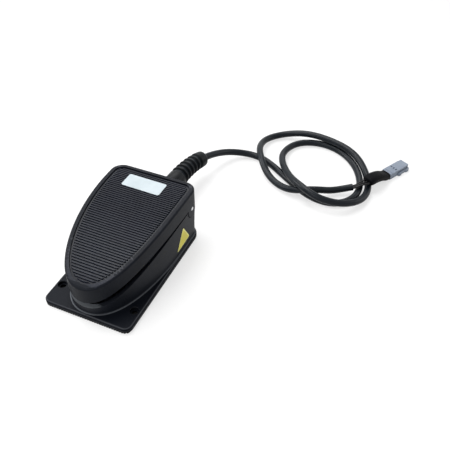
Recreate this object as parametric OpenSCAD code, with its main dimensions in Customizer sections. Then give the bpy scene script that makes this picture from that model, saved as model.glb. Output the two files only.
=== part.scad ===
// Industrial foot switch. A hinged treadle covers a moulded housing on a base plate.
// Pressing the toe of the treadle turns it about a cross pin at the heel, compresses a
// coil spring and works a snap-action switch through a roller lever. The lead leaves the
// heel through a gland and a ribbed boot and ends in a three-way connector.
// Toe is -Y, heel is +Y, +X is the right side, the origin is under the middle of the base.

/* [Base plate] */
// Width of the base plate
base_w = 86; // [84:1:92]
// Length of the base plate
base_l = 138; // [134:1:144]
// Thickness of the base plate
plate_t = 4.6; // [4.2:0.2:6]
// Thickness of the anti-slip mat under the plate
mat_t = 1.6; // [1.4:0.1:2.4]
// Corner radius of the base plate at the toe
base_corner_r = 7; // [5:0.5:9]
// Corner radius of the base plate at the heel
base_heel_r = 12; // [10:0.5:14]
// Bevel along the top edge of the base plate
plate_bevel = 1.4; // [0.8:0.1:1.8]
// Depth of the shadow groove round the edge of the plate
edge_groove = 0.9; // [0.5:0.1:1.2]
// Height of that groove
edge_groove_h = 0.8; // [0.5:0.1:1]
// Pitch of the ribs under the mat
mat_rib_pitch = 2.4; // [1.8:0.1:3.2]
// Depth of the ribs under the mat
mat_rib_depth = 0.7; // [0.4:0.1:0.8]
// Bore of the two mounting holes
mount_d = 5.4; // [4.4:0.1:6]
// Counterbore for the head of a mounting screw
mount_head_d = 8.4; // [7.6:0.1:9]
// Depth of that counterbore
mount_head_depth = 3; // [2:0.1:3.2]
// Distance between the mounting holes
mount_spacing = 73; // [71:0.5:74]
// Distance from the front edge to the mounting holes
mount_from_front = 21.5; // [20:0.5:23]

/* [Housing] */
// Wall of the housing and of the treadle skirt
wall_t = 2.6; // [2.2:0.1:3]
// Thickness of the housing wall at the toe
toe_wall_t = 3.6; // [3:0.1:4.4]
// Distance from the rear edge of the base to the heel wall
heel_margin = 0.6; // [0.4:0.1:1]
// Distance from the front edge of the base to the toe of the treadle
toe_margin = 0.9; // [0.6:0.1:1.4]
// Radius of the heel corners
heel_corner_r = 12; // [10:0.5:14]
// Width of the flange round the foot of the housing
flange_w = 1.3; // [0.8:0.1:1.6]
// Height of that flange
flange_h = 0.8; // [0.6:0.1:1.2]
// Radius of the flat boss round the gland
gland_boss_r = 13.4; // [13:0.1:14]
// Height of the seam between housing and treadle above the base plate
seam_h = 38.1; // [37:0.1:39]
// Clearance along the seam
seam_gap = 0.8; // [0.4:0.05:0.9]

/* [Treadle] */
// Height of the crown of the treadle above the base plate
crown_h = 53.9; // [53:0.1:56]
// Radius of the arched top
top_arc_r = 325; // [300:5:350]
// Distance from the pivot forward to the crown of the top
crown_ahead = 6; // [3:1:10]
// Radius of the arched lower edge of the skirt
skirt_arc_r = 275; // [262:1:290]
// Distance from the pivot forward to where that edge turns level
skirt_level_ahead = 14; // [12:1:16]
// Rounding of the rim
rim_round = 1.8; // [1.2:0.1:2.4]
// Distance from the side of the treadle to the sunk tread field
field_inset = 4.4; // [3.8:0.1:5]
// Depth of the tread field below the rim
field_depth = 1.3; // [1:0.1:1.6]
// Plate thickness under the tread field
top_t = 2.8; // [2.4:0.1:3.2]
// Pitch of the tread ribs
rib_pitch = 2.4; // [2.2:0.1:3]
// Width of a tread rib at its top
rib_top_w = 0.9; // [0.7:0.1:1.2]
// Width of a tread rib at its foot
rib_foot_w = 1.5; // [1.3:0.1:1.7]
// Height of the tread ribs above the field
rib_h = 1.1; // [0.8:0.1:1.2]
// Gap between the rib ends and the edge of the field
rib_end_gap = 1.4; // [1:0.1:2]

/* [Label] */
// Length of the blank label on the treadle
label_l = 39; // [34:0.5:44]
// Width of the label
label_w = 16.5; // [14:0.5:18]
// Corner radius of the label
label_r = 2; // [0.5:0.1:3]
// Thickness of the label
label_t = 0.3; // [0.2:0.05:0.4]
// Distance from the pivot forward to the middle of the label
label_ahead = 6.2; // [4:0.1:12]
// Distance of the label from the middle line
label_off = 2.5; // [0:0.5:8]
// Skew of the label in degrees
label_skew = 1; // [0:0.1:4]

/* [Pivot] */
// Distance from the heel wall forward to the pivot
pivot_from_heel = 14.4; // [13.8:0.1:15]
// Height of the pivot above the base plate
pivot_h = 35.8; // [35:0.1:36.5]
// Diameter of the pivot pin
pin_d = 4; // [3.6:0.1:4.4]
// Radius of the ears that carry the pin
ear_r = 8; // [7:0.1:8.4]
// Thickness of the ears
ear_t = 5; // [4.4:0.1:5.4]
// Travel of the treadle in degrees
travel_deg = 3.5; // [3:0.1:3.6]
// Clearance between the ears and the cut-outs of the housing
ear_gap = 0.9; // [0.5:0.1:1.2]
// Radial clearance of the pin in the ears
pin_play = 0.08; // [0.05:0.01:0.1]

/* [Screws] */
// Shank of the screws that hold the housing
screw_d = 3.9; // [3.5:0.1:4]
// Head of those screws
screw_head_d = 7.2; // [6.6:0.1:7.4]
// Depth of their heads in the plate
screw_head_t = 2.4; // [2:0.1:2.8]
// Length of their shanks
screw_l = 12; // [10:0.5:14]
// Distance from the pivot to the two heel screws
heel_screw_behind = 1; // [0:0.5:2]
// Distance from the side of the base to the heel screws
heel_screw_in = 6.5; // [6:0.5:7]
// Distance from the toe of the treadle back to the two toe screws
toe_screw_back = 22; // [20:0.5:24]
// Distance between the toe screws
toe_screw_spacing = 42; // [38:0.5:44]
// Shank of the small screws inside
small_screw_d = 2.9; // [2.5:0.1:3]
// Head of the small screws
small_head_d = 5.4; // [4.8:0.1:5.6]
// Height of the heads of the small screws
small_head_t = 2; // [1.6:0.1:2.2]

/* [Return spring] */
// Mean diameter of the coil
spring_d = 12; // [11:0.5:13]
// Diameter of the spring wire
spring_wire = 1.6; // [1.4:0.1:1.8]
// Turns of the coil
spring_turns = 7; // [6:1:8]
// Distance from the toe of the treadle back to the spring
spring_back = 34; // [32:0.5:36]
// Distance from the spring forward to the buffer
buffer_ahead = 17; // [16:0.5:18]
// Height of the buffer above the base plate
buffer_h = 10; // [8:0.5:11]

/* [Snap-action switch] */
// Length of the switch body
switch_l = 27.8; // [27:0.1:29]
// Thickness of the switch body
switch_t = 10.3; // [10:0.1:11]
// Height of the switch body
switch_h = 15.9; // [15.5:0.1:16.5]
// Height of the switch body above the base plate
switch_lift = 12; // [11.4:0.1:12.4]
// Distance from the pivot forward to the roller
roller_ahead = 63.5; // [62:0.5:64]
// Length of the lever from its hinge to its roller
lever_l = 36; // [35:0.5:37]
// Height of the roller's axle above the hinge of the lever
roller_lift = 4.5; // [4:0.1:4.8]
// Diameter of the roller
roller_d = 5; // [4.6:0.1:5.4]
// Width of the lever
lever_w = 4.4; // [4:0.1:4.6]
// Thickness of the lever
lever_t = 0.8; // [0.6:0.1:1]
// Length of the terminals
terminal_l = 8; // [7:0.5:9]
// Diameter of the wires inside
wire_d = 1.9; // [1.6:0.1:2]

/* [Lead] */
// Diameter of the cable
cable_d = 7.2; // [6.6:0.1:7.2]
// Height of the cable gland above the base plate
gland_h = 19.8; // [19:0.1:20.5]
// Width across the flats of the gland
gland_af = 22; // [20:0.5:23]
// Thread diameter of the gland
gland_thread_d = 16; // [15:0.5:17]
// Length of the gland nut
gland_nut_l = 18.6; // [17:0.1:20]
// Length of the ribbed boot
boot_l = 60; // [56:1:60]
// Radius of the boot at the gland
boot_r0 = 10; // [9.6:0.1:10.2]
// Radius of the boot at its free end
boot_r1 = 8.3; // [7.8:0.1:8.6]
// Spacing of the fins of the boot
fin_pitch = 6.2; // [5.8:0.1:6.4]
// Number of grooves in the boot
fin_count = 6; // [4:1:6]
// Length of the connector
plug_l = 29; // [27:0.5:31]
// Width of the connector
plug_w = 11.6; // [11:0.1:12.4]
// Height of the connector
plug_h = 7; // [6.6:0.1:7.6]

/* [Hidden] */
$fn = 48;
eps = 0.3;             // overlap that fuses two solids of one piece
fit = 0.05;            // radial play of fixed pins and screws in their holes
plastic = [0.13, 0.14, 0.15];
rubber = [0.06, 0.06, 0.06];
zinc = [0.72, 0.73, 0.75];
brass = [0.8, 0.66, 0.3];

// levels and stations
deck_z = mat_t + plate_t;
half_w = base_w / 2;
side_w = half_w - 0.1;                      // half width of the treadle
heel_y = base_l / 2 - heel_margin;
toe_y = -base_l / 2 + toe_margin;
pivot_y = heel_y - pivot_from_heel;
pivot_z = deck_z + pivot_h;
seam_z = deck_z + seam_h;
crown_z = deck_z + crown_h;
crown_y = pivot_y - crown_ahead;
level_y = pivot_y - skirt_level_ahead;
full_y = pivot_y - 4;                       // where the sides of the treadle run straight
foot_full_y = pivot_y - 12;                 // the same for the foot of the housing
hole_reach = 200;                           // longer than any piece of the body
arc_fn = 360;

// ---------------------------------------------------------------- outlines and lofts

toe_steps = 36;
corner_steps = 8;

// Outline with a superellipse toe, straight sides and rounded heel corners, drawn in
// by `inset`. The first point is the tip of the toe; the others are mirrored in pairs.
function outline(w, straight_y, tip_y, power, inset = 0, toe_inset = undef) =
  let (
    toe_in = is_undef(toe_inset) ? inset : toe_inset,
    hw = w - inset,
    tip = tip_y + toe_in,
    back = heel_y - inset,
    r = heel_corner_r - inset,
    right = [
      for (i = [1:toe_steps])
        let (a = 90 - 90 * i / toe_steps)
        [hw * pow(cos(a), 2 / power), straight_y - (straight_y - tip) * pow(sin(a), 2 / power)],
      for (j = [0:corner_steps])
        let (b = 90 * j / corner_steps)
        [hw - r + r * cos(b), back - r + r * sin(b)]
    ]
  )
  concat([[0, tip]], right, [for (i = [len(right) - 1:-1:0]) [-right[i].x, right[i].y]]);

treadle_power = 2.2;
foot_power = 2.35;
foot_tip_y = toe_y + 0.8;
foot_in = 0.4;                              // from the edge of the plate to the flange

function treadle_outline(inset = 0, toe_inset = undef) =
  outline(side_w, full_y, toe_y, treadle_power, inset, toe_inset);

// The housing blends from its wider foot to the outline of the treadle at the seam.
function housing_outline(z, inset = 0, toe_inset = undef) =
  let (u = (z - deck_z) / seam_h)
  outline(
    half_w - foot_in + (side_w - half_w + foot_in) * u, foot_full_y + (full_y - foot_full_y) * u,
    foot_tip_y + (toe_y - foot_tip_y) * u, foot_power + (treadle_power - foot_power) * u,
    inset, toe_inset
  );

function raise(points, z) = [for (p = points) [p.x, p.y, z]];

// Height of the arched top at y, and of an arc that lies `drop` under it
function top_z(y, drop = 0) =
  crown_z - top_arc_r + sqrt(pow(top_arc_r - drop, 2) - pow(y - crown_y, 2));

// Solid through a stack of rings with equal point counts, counter-clockwise from above.
// `paired` closes the top with strips between mirrored points, for an arched top.
module loft(rings, paired = false) {
  m = len(rings[0]);
  n = len(rings);
  top = m * (n - 1);
  sides = [
    for (i = [0:n - 2], j = [0:m - 1])
      let (a = i * m + j, b = i * m + (j + 1) % m)
      each [[a, a + m, b + m], [a, b + m, b]]
  ];
  strips = [
    [top + m - 1, top + 1, top],
    for (i = [1:(m - 1) / 2 - 1]) [top + m - i, top + m - i - 1, top + i + 1, top + i]
  ];
  lid = paired ? strips : [[for (j = [m - 1:-1:0]) top + j]];
  polyhedron([for (r = rings) each r], concat([[for (j = [0:m - 1]) j]], sides, lid), 4);
}

module prism(points, z0, z1) {
  translate([0, 0, z0]) linear_extrude(z1 - z0) polygon(points);
}

// Cylinder along X
module rod_x(r, y, z, x0, x1, fn = 48) {
  translate([x0, y, z]) rotate([0, 90, 0]) cylinder(r = r, h = x1 - x0, $fn = fn);
}

// Cylinder along Y
module rod_y(r, x, z, y0, y1, fn = 48) {
  translate([x, y0, z]) rotate([-90, 0, 0]) cylinder(r = r, h = y1 - y0, $fn = fn);
}

module box(x0, x1, y0, y1, z0, z1) {
  translate([x0, y0, z0]) cube([x1 - x0, y1 - y0, z1 - z0]);
}

module both_sides() {
  children();
  mirror([1, 0, 0]) children();
}

// Everything under the arched edge of the skirt; the level part runs on to the heel.
module below_skirt(gap = 0) {
  rod_x(skirt_arc_r - gap, level_y, seam_z - skirt_arc_r, -half_w - 1, half_w + 1, arc_fn);
  box(-half_w - 1, half_w + 1, level_y, heel_y + 1, -1, seam_z - gap);
}

module turned_about_pivot(angle) {
  translate([0, pivot_y, pivot_z]) rotate([angle, 0, 0]) translate([0, -pivot_y, -pivot_z])
    children();
}

// ---------------------------------------------------------------- base plate and mat

function plate_ring(inset, z, steps = 6) =
  [
    for (c = [[1, 1, 0], [-1, 1, 90], [-1, -1, 180], [1, -1, 270]], k = [0:steps])
      let (r = c.y > 0 ? base_heel_r : base_corner_r, a = c[2] + 90 * k / steps)
      [
        c.x * (half_w - r) + (r - inset) * cos(a),
        c.y * (base_l / 2 - r) + (r - inset) * sin(a),
        z
      ]
  ];

mount_y = -base_l / 2 + mount_from_front;
// screws from under the plate into the housing: two at the heel, two at the toe
screw_places = [
  for (sx = [1, -1]) [sx * (half_w - heel_screw_in), pivot_y + heel_screw_behind],
  for (sx = [1, -1]) [sx * toe_screw_spacing / 2, toe_y + toe_screw_back]
];

module plate_bores(z0, z1, d, places) {
  for (p = places) translate([p.x, p.y, z0]) cylinder(d = d, h = z1 - z0);
}

mount_places = [[mount_spacing / 2, mount_y], [-mount_spacing / 2, mount_y]];

module base_plate() {
  lip = deck_z - plate_bevel - 0.1;
  color(plastic) difference() {
    union() {
      loft([
        plate_ring(0.3, mat_t),
        plate_ring(0, mat_t + 0.3),
        plate_ring(0, lip - edge_groove_h - 0.1),
        plate_ring(edge_groove, lip - edge_groove_h),
        plate_ring(edge_groove, lip - 0.1),
        plate_ring(0, lip),
        plate_ring(0, deck_z - plate_bevel),
        plate_ring(plate_bevel, deck_z)
      ]);
      clamp_post();
    }
    plate_bores(-1, deck_z + 1, mount_d, mount_places);
    plate_bores(deck_z - mount_head_depth, deck_z + 1, mount_head_d, mount_places);
    plate_bores(-1, deck_z + 1, screw_d + 2 * fit, screw_places);
    plate_bores(-1, mat_t + screw_head_t, screw_head_d + 2 * fit, screw_places);
    for (p = bracket_screw_places)
      translate([p.x, p.y, deck_z - bracket_screw_l]) cylinder(r = small_screw_r + fit, h = 20);
    for (x = [-clamp_screw_x, clamp_screw_x])
      translate([x, clamp_y, clamp_top_z - clamp_screw_l]) cylinder(r = small_screw_r + fit, h = 20);
  }
}

module rubber_mat() {
  rib_w = 0.6 * mat_rib_pitch;
  ribs = floor(half_w / mat_rib_pitch);
  color(rubber) difference() {
    intersection() {
      prism([for (p = plate_ring(0.2, 0)) [p.x, p.y]], 0, mat_t);
      union() {
        box(-half_w, half_w, -base_l / 2, base_l / 2, mat_rib_depth, mat_t);
        for (i = [-ribs:ribs])
          box(i * mat_rib_pitch - rib_w / 2, i * mat_rib_pitch + rib_w / 2,
            -base_l / 2, base_l / 2, 0, mat_rib_depth + 0.2);
      }
    }
    plate_bores(-1, mat_t + 1, mount_head_d, mount_places);
    plate_bores(-1, mat_t + 1, screw_head_d + 1, screw_places);
  }
}

module pan_head(r, h) {
  cylinder(r = r, h = h * 0.55);
  translate([0, 0, h * 0.55]) cylinder(r1 = r, r2 = r * 0.7, h = h * 0.45);
}

module base_screws() {
  color(zinc) for (p = screw_places) translate([p.x, p.y, mat_t + screw_head_t]) {
    cylinder(d = screw_d, h = screw_l);
    difference() {
      mirror([0, 0, 1]) pan_head(screw_head_d / 2, screw_head_t - 0.2);
      translate([0, 0, -screw_head_t]) cylinder(r = 1.3, h = 1.4, $fn = 6);
    }
  }
}

// ---------------------------------------------------------------- housing

lug_gap = 0.5;                              // between an ear and the lug beside it
ear_in_x = side_w - ear_t;
lug_out_x = ear_in_x - lug_gap;
lug_t = 4.4;
lug_in_x = lug_out_x - lug_t;
lug_r = 6;
pillar_top_z = pivot_z - ear_r - ear_gap;

module housing_shell() {
  flange_top = deck_z + flange_h;
  difference() {
    union() {
      loft([
        raise(housing_outline(deck_z), deck_z),
        raise(housing_outline(deck_z), flange_top - 0.25),
        raise(housing_outline(deck_z, 0.3), flange_top),
        raise(housing_outline(deck_z, flange_w - 0.45), flange_top + 0.05),
        raise(housing_outline(deck_z, flange_w), flange_top + 0.5),
        raise(housing_outline(seam_z), seam_z + 1)
      ]);
      rod_y(gland_boss_r, 0, gland_z, heel_y - wall_t, heel_y, 64);
    }
    loft([
      raise(housing_outline(deck_z, flange_w + wall_t, flange_w + toe_wall_t), deck_z - 1),
      raise(housing_outline(seam_z, wall_t, toe_wall_t), seam_z + 2)
    ]);
    // seat of the locknut inside
    rod_y(gland_boss_r - 1, 0, gland_z, heel_y - wall_t - 6, heel_y - wall_t, 64);
  }
}

module heel_pillar() {
  // solid post that takes the base screw and carries the lug for the pin
  difference() {
    union() {
      box(lug_in_x, side_w - wall_t + eps, pivot_y - 7, pivot_y + 7, deck_z, pillar_top_z);
      box(lug_in_x, lug_out_x, pivot_y - lug_r, pivot_y + lug_r, pillar_top_z - eps, pivot_z);
      rod_x(lug_r, pivot_y, pivot_z, lug_in_x, lug_out_x);
    }
    rod_x(pin_d / 2 + fit, pivot_y, pivot_z, 0, half_w);
  }
}

toe_boss_h = 9;

module toe_boss() {
  p = screw_places[2];
  translate([p.x, p.y, deck_z]) cylinder(r = 4, h = toe_boss_h);
  intersection() {
    box(p.x, half_w, p.y - 1.2, p.y + 1.2, deck_z, deck_z + toe_boss_h);
    prism(housing_outline(deck_z, 1.2), deck_z - 1, seam_z);
  }
}

module housing() {
  color(plastic) difference() {
    intersection() {
      union() {
        housing_shell();
        both_sides() {
          heel_pillar();
          toe_boss();
        }
      }
      union() {
        intersection() {
          below_skirt(seam_gap);
          turned_about_pivot(travel_deg) below_skirt(seam_gap);
        }
        // the lugs stand above the seam, inside the treadle
        both_sides() box(lug_in_x - 1, lug_out_x + 0.1, pivot_y - 9, pivot_y + 9, 0, crown_z);
      }
    }
    both_sides() rod_x(ear_r + ear_gap, pivot_y, pivot_z, lug_out_x + 0.1, half_w + 1, 96);
    for (p = screw_places)
      translate([p.x, p.y, deck_z - 1]) cylinder(r = screw_d / 2 + fit, h = screw_l);
    rod_y(gland_thread_d / 2 + fit, 0, gland_z, heel_y - wall_t - 1, heel_y + 1, 64);
  }
}

// ---------------------------------------------------------------- pivot pin and clips

groove_w = 0.9;
groove_r = pin_d / 2 - 0.4;
clip_t = 0.7;
groove_x = lug_in_x - 0.1 - groove_w;       // inner end of the clip groove

module pivot_pin() {
  end_x = side_w - 0.05;
  chamfer = 0.3;
  color(zinc) difference() {
    union() {
      rod_x(pin_d / 2, pivot_y, pivot_z, -end_x + chamfer, end_x - chamfer);
      both_sides() translate([end_x - chamfer, pivot_y, pivot_z]) rotate([0, 90, 0])
        cylinder(r1 = pin_d / 2, r2 = pin_d / 2 - chamfer, h = chamfer);
    }
    both_sides() difference() {
      rod_x(pin_d, pivot_y, pivot_z, groove_x, groove_x + groove_w);
      rod_x(groove_r, pivot_y, pivot_z, groove_x - 1, groove_x + groove_w + 1);
    }
  }
}

module pivot_clips() {
  mouth = 2 * groove_r - 0.4;
  color(zinc) both_sides() difference() {
    rod_x(pin_d, pivot_y, pivot_z, groove_x + 0.1, groove_x + 0.1 + clip_t);
    rod_x(groove_r + fit, pivot_y, pivot_z, groove_x - 1, groove_x + 2);
    box(groove_x - 1, groove_x + 2, pivot_y - mouth / 2, pivot_y + mouth / 2,
      pivot_z - pin_d - 1, pivot_z);
  }
}

// ---------------------------------------------------------------- treadle

treadle_floor_z = deck_z + 4;               // lower than any point of the skirt
field_in = field_inset;

// Ring of the rounded rim: `turn` runs from 0 at the side to 90 on the top.
function rim_ring(turn) =
  [for (p = treadle_outline(rim_round * (1 - cos(turn))))
    [p.x, p.y, top_z(p.y) - rim_round * (1 - sin(turn))]];

module treadle_block() {
  loft(concat([raise(treadle_outline(), treadle_floor_z)], [for (k = [0:4]) rim_ring(22.5 * k)]),
    paired = true);
}

// The space above an arc that lies `drop` under the top, within an inset outline
module above_arc(inset, drop) {
  difference() {
    prism(treadle_outline(inset), treadle_floor_z, crown_z + 5);
    rod_x(top_arc_r - drop, crown_y, crown_z - top_arc_r, -half_w, half_w, arc_fn);
  }
}

module tread_ribs() {
  foot_drop = field_depth + 0.4;
  first = toe_y + field_in + rib_end_gap + rib_pitch / 2;
  count = floor((heel_y - field_in - rib_end_gap - first) / rib_pitch);
  under = [for (i = [0:4:count]) let (y = first + i * rib_pitch) [y, top_z(y, foot_drop + 0.8)]];
  teeth = [
    for (i = [count:-1:0])
      let (y = first + i * rib_pitch)
      each [
        [y + rib_foot_w / 2, top_z(y, foot_drop)],
        [y + rib_top_w / 2, top_z(y, field_depth - rib_h)],
        [y - rib_top_w / 2, top_z(y, field_depth - rib_h)],
        [y - rib_foot_w / 2, top_z(y, foot_drop)]
      ]
  ];
  intersection() {
    translate([-half_w, 0, 0]) rotate([90, 0, 90]) linear_extrude(base_w)
      polygon(concat(under, teeth));
    // the ends of the ribs slope inwards
    loft([
      for (k = [0, 1])
        let (drop = foot_drop + 0.9 - k * (foot_drop + 0.9 - field_depth + rib_h + 0.02))
        [for (p = treadle_outline(field_in + rib_end_gap + k * rib_h))
          [p.x, p.y, top_z(p.y, drop)]]
    ], paired = true);
  }
}

spring_y = toe_y + spring_back;
seat_z = top_z(spring_y - spring_d / 2 - 1.5, field_depth + top_t) - 1;   // spring's upper seat
spigot_r = (spring_d - spring_wire) / 2 - 1.2;
roller_y = pivot_y - roller_ahead;
buffer_y = spring_y - buffer_ahead;
buffer_travel = (pivot_y - buffer_y) * sin(travel_deg);

module ear() {
  intersection() {
    rod_x(ear_r, pivot_y, pivot_z, ear_in_x, side_w, 96);
    prism(treadle_outline(), treadle_floor_z, crown_z);
  }
  box(ear_in_x, side_w - wall_t + eps, pivot_y - ear_r, pivot_y + ear_r, pivot_z,
    top_z(pivot_y + ear_r, field_depth + top_t) + eps);
}

// Round boss under the plate, reaching down to z0
module under_boss(y, r, z0) {
  translate([0, y, z0]) cylinder(r = r, h = top_z(y, field_depth + top_t) + eps - z0);
}

module treadle() {
  color(plastic) difference() {
    union() {
      difference() {
        treadle_block();
        above_arc(field_in, field_depth);
        intersection() {
          prism(treadle_outline(wall_t), 0, crown_z);
          rod_x(top_arc_r - field_depth - top_t, crown_y, crown_z - top_arc_r,
            -half_w, half_w, arc_fn);
        }
        below_skirt();
      }
      tread_ribs();
      both_sides() ear();
      under_boss(spring_y, spring_d / 2 + 1.5, seat_z);
      translate([0, spring_y, seat_z - 4]) cylinder(r = spigot_r, h = 5);
      under_boss(buffer_y, 3.5, deck_z + buffer_h + buffer_travel + 0.5);
      under_boss(roller_y, 5, roller_top_z + 2.6);
    }
    both_sides() rod_x(pin_d / 2 + pin_play, pivot_y, pivot_z, ear_in_x - 1, half_w + 1);
    translate([0, roller_y, roller_top_z]) cylinder(d = 4 + 2 * fit, h = actuator_l + 0.4);
  }
}

module label_plate() {
  under_r = top_arc_r - field_depth + rib_h + 0.02;
  color("white") intersection() {
    translate([-label_off, pivot_y - label_ahead, treadle_floor_z]) rotate(-label_skew)
      linear_extrude(crown_z) union() {
        square([label_l - 2 * label_r, label_w], center = true);
        square([label_l, label_w - 2 * label_r], center = true);
        for (sx = [-1, 1], sy = [-1, 1])
          translate([sx * (label_l / 2 - label_r), sy * (label_w / 2 - label_r)])
            circle(label_r);
      }
    difference() {
      rod_x(under_r + label_t, crown_y, crown_z - top_arc_r, -half_w, half_w, arc_fn);
      rod_x(under_r, crown_y, crown_z - top_arc_r, -half_w, half_w, arc_fn);
    }
  }
}

module actuator_screw() {
  color(zinc) translate([0, roller_y, roller_top_z + 0.3]) {
    cylinder(r1 = 1.4, r2 = 2, h = 0.6);
    translate([0, 0, 0.6]) cylinder(r = 2, h = actuator_l - 0.9);
  }
}

// ---------------------------------------------------------------- spring and buffer

cup_floor = 2;
spring_z0 = deck_z + cup_floor;
spring_h = seat_z - spring_z0 - 0.2;

// Height of the wire's middle after `turn` turns: a closed turn at each end
function coil_z(turn) =
  let (
    closed = spring_wire + 0.1,
    open_pitch = (spring_h - spring_wire - 2 * closed) / (spring_turns - 2)
  )
  spring_z0 + spring_wire / 2 + (
    turn < 1 ? closed * turn :
    turn > spring_turns - 1 ? spring_h - spring_wire - closed * (spring_turns - turn) :
    closed + open_pitch * (turn - 1)
  );

module return_spring() {
  steps = 14;
  color(zinc) loft([
    for (k = [0:steps * spring_turns])
      let (a = 360 * k / steps, r = spring_d / 2, w = spring_wire / 2)
      [for (b = [0:45:315])
        [(r + w * cos(b)) * cos(a), spring_y + (r + w * cos(b)) * sin(a),
          coil_z(k / steps) + w * sin(b)]]
  ]);
}

module spring_cup() {
  r = (spring_d + spring_wire) / 2;
  color(plastic) translate([0, spring_y, deck_z]) difference() {
    cylinder(r = r + 1.8, h = cup_floor + 3);
    translate([0, 0, cup_floor]) cylinder(r1 = r + 0.3, r2 = r + 0.6, h = 4);
    translate([0, 0, -1]) cylinder(r = 3, h = 5);
  }
}

module travel_buffer() {
  color(rubber) translate([0, buffer_y, deck_z]) {
    cylinder(r = 5, h = 2);
    cylinder(r = 3.6, h = buffer_h - 1);
    translate([0, 0, buffer_h - 1]) cylinder(r1 = 3.6, r2 = 2.6, h = 1);
  }
}

// ---------------------------------------------------------------- snap-action switch

switch_z0 = deck_z + switch_lift;
switch_z1 = switch_z0 + switch_h;
lever_y = roller_y + lever_l;
hinge_r = 1;
axle_r = 0.7;
switch_y1 = lever_y + 1.3;
switch_y0 = switch_y1 - switch_l;
lever_z = switch_z1 + hinge_r + 1.1;
roller_z = lever_z + roller_lift;
roller_top_z = roller_z + roller_d / 2;
actuator_l = 8.4;
lever_rise = atan2(roller_z - 2.2 - lever_z, lever_l - 2);
plunger_y = lever_y - 12.5;
switch_holes = [[switch_y0 + 2.8, switch_z0 + 2.8], [switch_y0 + 25, switch_z0 + 13.1]];
small_screw_r = small_screw_d / 2;

module switch_body() {
  x = switch_t / 2;
  cheek_x = lever_w / 2 + 1.2;
  color([0.1, 0.1, 0.11]) difference() {
    union() {
      box(-x, x, switch_y0, switch_y1, switch_z0, switch_z1);
      // cheeks that hold the lever's hinge pin
      for (s = [-1, 1]) box(s * cheek_x - 0.7, s * cheek_x + 0.7, lever_y - 1.6, switch_y1,
        switch_z1 - eps, lever_z + 0.6);
      rod_x(hinge_r, lever_y, lever_z, -cheek_x, cheek_x, 24);
    }
    translate([0, plunger_y, switch_z1 - 4.6]) cylinder(r = 1.75, h = 6);
    for (p = switch_holes) rod_x(small_screw_r + fit, p[0], p[1], -x - 1, x + 1);
    // parting line of the two halves of the case
    box(-0.15, 0.15, switch_y0 - 1, switch_y0 + 0.3, switch_z0 - 1, switch_z1 + 1);
  }
}

module switch_plunger() {
  lever_under = lever_z + (lever_y - plunger_y) * tan(lever_rise) - lever_t / 2;
  top = lever_under - 0.45;
  color([0.75, 0.2, 0.15]) translate([0, plunger_y, switch_z1 - 2.6]) {
    cylinder(r = 1.6, h = top - switch_z1 + 2.2);
    translate([0, 0, top - switch_z1 + 2.2]) cylinder(r1 = 1.6, r2 = 0.9, h = 0.4);
  }
}

module switch_lever() {
  w = lever_w / 2;
  cheek = 0.35;
  color(zinc) difference() {
    union() {
      translate([0, lever_y, lever_z]) rotate([-lever_rise, 0, 0]) {
        difference() {
          box(-w, w, -lever_l + 1.8, hinge_r + 0.6, -lever_t / 2, lever_t / 2);
          box(-w - 1, w + 1, -hinge_r - 0.35, hinge_r + 0.35, -1, 1);
        }
      }
      // rolled eye round the hinge pin
      rod_x(hinge_r + 0.62, lever_y, lever_z, -w, w, 32);
      // fork for the roller
      for (x = [-w + cheek, w - cheek]) {
        box(x - cheek, x + cheek, roller_y - 1.6, roller_y + 3.4, roller_z - 2.4, roller_z);
        rod_x(1.6, roller_y, roller_z, x - cheek, x + cheek, 24);
      }
      rod_x(axle_r, roller_y, roller_z, -w, w, 24);
    }
    rod_x(hinge_r + 0.08, lever_y, lever_z, -3, 3, 32);
  }
}

module lever_roller() {
  color([0.85, 0.85, 0.8]) difference() {
    rod_x(roller_d / 2, roller_y, roller_z, -lever_w / 2 + 0.85, lever_w / 2 - 0.85, 32);
    rod_x(axle_r + fit, roller_y, roller_z, -lever_w, lever_w, 24);
  }
}

terminal_ys = [switch_y0 + 3.4, switch_y0 + 14, switch_y0 + 24.4];

module switch_terminals() {
  color(brass) for (y = terminal_ys) difference() {
    box(-0.4, 0.4, y - 2.4, y + 2.4, switch_z0 - terminal_l, switch_z0);
    rod_x(0.8, y, switch_z0 - terminal_l + 2, -1, 1, 24);
  }
}

bracket_t = 2;
bracket_x = switch_t / 2;
bracket_foot = 16;
bracket_screw_l = 3.4;
bracket_screw_places = [
  for (y = [switch_y0 + 6, switch_y1 - 6]) [bracket_x + bracket_t + bracket_foot / 2, y]
];

module switch_bracket() {
  color(zinc) difference() {
    union() {
      box(bracket_x, bracket_x + bracket_t, switch_y0, switch_y1, deck_z, switch_z1);
      box(bracket_x, bracket_x + bracket_t + bracket_foot, switch_y0, switch_y1,
        deck_z, deck_z + bracket_t);
    }
    for (p = switch_holes) rod_x(small_screw_r + fit, p[0], p[1], 0, bracket_x + 4);
    for (p = bracket_screw_places)
      translate([p.x, p.y, 0]) cylinder(r = small_screw_r + fit, h = 20);
  }
}

module small_screw(l) {
  // pan head screw, the head sits on the plane z = 0 and the shank goes down
  translate([0, 0, -l]) cylinder(r = small_screw_r, h = l);
  difference() {
    pan_head(small_head_d / 2, small_head_t);
    translate([0, 0, small_head_t * 0.45])
      cylinder(r = small_head_d * 0.19, h = small_head_t, $fn = 6);
  }
}

module bracket_screws() {
  color(zinc) for (p = bracket_screw_places)
    translate([p.x, p.y, deck_z + bracket_t]) small_screw(bracket_t + bracket_screw_l - 0.4);
}

module switch_screws() {
  color(zinc) for (p = switch_holes)
    translate([-switch_t / 2, p[0], p[1]]) rotate([0, -90, 0]) small_screw(switch_t + bracket_t);
}

// ---------------------------------------------------------------- lead inside the housing

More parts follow.
